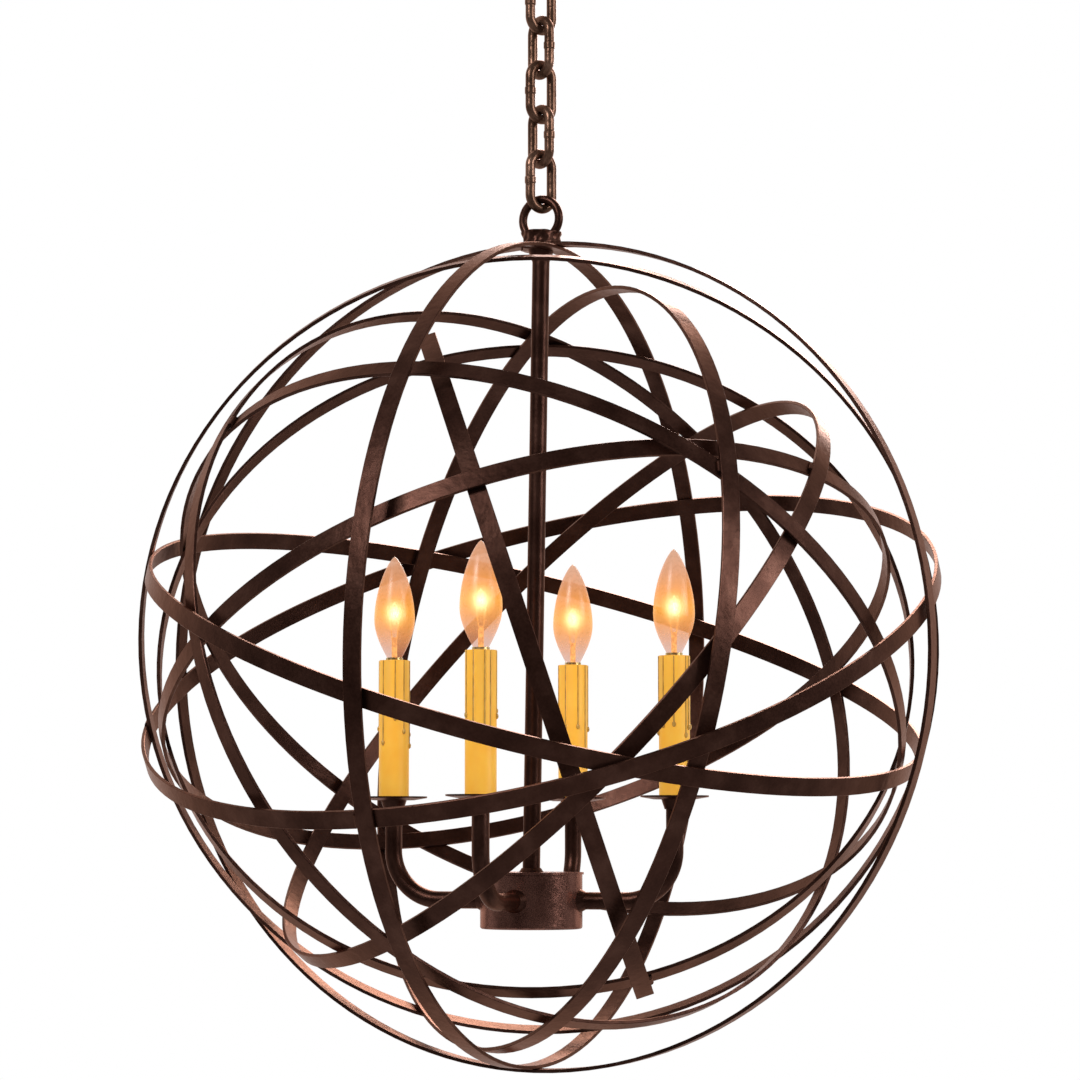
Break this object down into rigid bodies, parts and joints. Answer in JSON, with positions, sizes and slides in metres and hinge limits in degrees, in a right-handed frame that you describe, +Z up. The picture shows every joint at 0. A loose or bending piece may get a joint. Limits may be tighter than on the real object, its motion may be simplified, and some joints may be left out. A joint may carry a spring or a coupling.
{
  "type": "orb chandelier",
  "caption": "Spherical cage of crossed flat-bar hoops hung on a chain, with candle lights on curved arms round a central hub.",
  "frame": {"origin": "centre of the canopy's rim on the ceiling plane", "axes": "+Z up, out of the ceiling face; +X to the right and -Y towards the viewer of the picture"},
  "size_m": [0.5812, 0.559, 0.8807],
  "materials": {
    "bronze_bar": "dark bronze, satin, lightly mottled",
    "bronze_hub": "dark bronze, hammered satin",
    "bronze_chain": "antique bronze, satin",
    "zinc_steel": "zinc plated",
    "candle_sleeve": "amber candle with drips",
    "socket_body": "black holder",
    "lamp_brass": "plated",
    "lamp_glass": "frosted peach",
    "filament": "lit"
  },
  "bodies": {
    "ceiling": {"canopy": "bronze_chain", "crossbar": "zinc_steel", "ring_nut": "bronze_chain", "canopy_loop": "bronze_chain"},
    "link_6": {"chain_link_6": "bronze_chain"},
    "link_5": {"chain_link_5": "bronze_chain"},
    "link_4": {"chain_link_4": "bronze_chain"},
    "link_3": {"chain_link_3": "bronze_chain"},
    "link_2": {"chain_link_2": "bronze_chain"},
    "link_1": {"chain_link_1": "bronze_chain"},
    "orb": {"hoop_a": "bronze_bar", "hoop_b": "bronze_bar", "hoop_c": "bronze_bar", "hoop_d": "bronze_bar", "hoop_e": "bronze_bar", "hoop_f": "bronze_bar", "hoop_g": "bronze_bar", "hoop_h": "bronze_bar", "hoop_k": "bronze_bar", "hoop_m": "bronze_bar", "hoop_n": "bronze_bar", "front_strap": "bronze_bar", "weld_beads": "bronze_bar", "hang_ring": "bronze_bar", "hang_boss": "bronze_bar", "stem_collar": "bronze_bar", "stem": "bronze_bar", "stem_weld": "bronze_bar", "hub_lid": "bronze_hub", "hub_shell": "bronze_hub", "arm_welds": "bronze_bar", "pan_cups": "bronze_bar", "filaments": "filament", "arm_1": "bronze_bar", "pan_1": "bronze_bar", "sleeve_1": "candle_sleeve", "socket_1": "socket_body", "lamp_base_1": "lamp_brass", "lamp_glass_1": "lamp_glass", "arm_2": "bronze_bar", "pan_2": "bronze_bar", "sleeve_2": "candle_sleeve", "socket_2": "socket_body", "lamp_base_2": "lamp_brass", "lamp_glass_2": "lamp_glass", "arm_3": "bronze_bar", "pan_3": "bronze_bar", "sleeve_3": "candle_sleeve", "socket_3": "socket_body", "lamp_base_3": "lamp_brass", "lamp_glass_3": "lamp_glass", "arm_4": "bronze_bar", "pan_4": "bronze_bar", "sleeve_4": "candle_sleeve", "socket_4": "socket_body", "lamp_base_4": "lamp_brass", "lamp_glass_4": "lamp_glass"}
  },
  "joints": [
    {"name": "link_6_swing", "type": "hinge", "parent": "ceiling", "child": "link_6", "pos_m": [0, 0, -0.05], "axis": [0.788, 0.6157, 0], "range_deg": [-15, 15]},
    {"name": "link_5_swing", "type": "hinge", "parent": "link_6", "child": "link_5", "pos_m": [0, 0, -0.08405], "axis": [0.6157, -0.788, 0], "range_deg": [-15, 15]},
    {"name": "link_4_swing", "type": "hinge", "parent": "link_5", "child": "link_4", "pos_m": [0, 0, -0.1175], "axis": [0.788, 0.6157, 0], "range_deg": [-15, 15]},
    {"name": "link_3_swing", "type": "hinge", "parent": "link_4", "child": "link_3", "pos_m": [0, 0, -0.15095], "axis": [0.6157, -0.788, 0], "range_deg": [-15, 15]},
    {"name": "link_2_swing", "type": "hinge", "parent": "link_3", "child": "link_2", "pos_m": [0, 0, -0.1844], "axis": [0.788, 0.6157, 0], "range_deg": [-15, 15]},
    {"name": "link_1_swing", "type": "hinge", "parent": "link_2", "child": "link_1", "pos_m": [0, 0, -0.21785], "axis": [0.6157, -0.788, 0], "range_deg": [-15, 15]},
    {"name": "orb_swing", "type": "hinge", "parent": "link_1", "child": "orb", "pos_m": [0, 0, -0.2513], "axis": [0.788, 0.6157, 0], "range_deg": [-15, 15]}
  ]
}
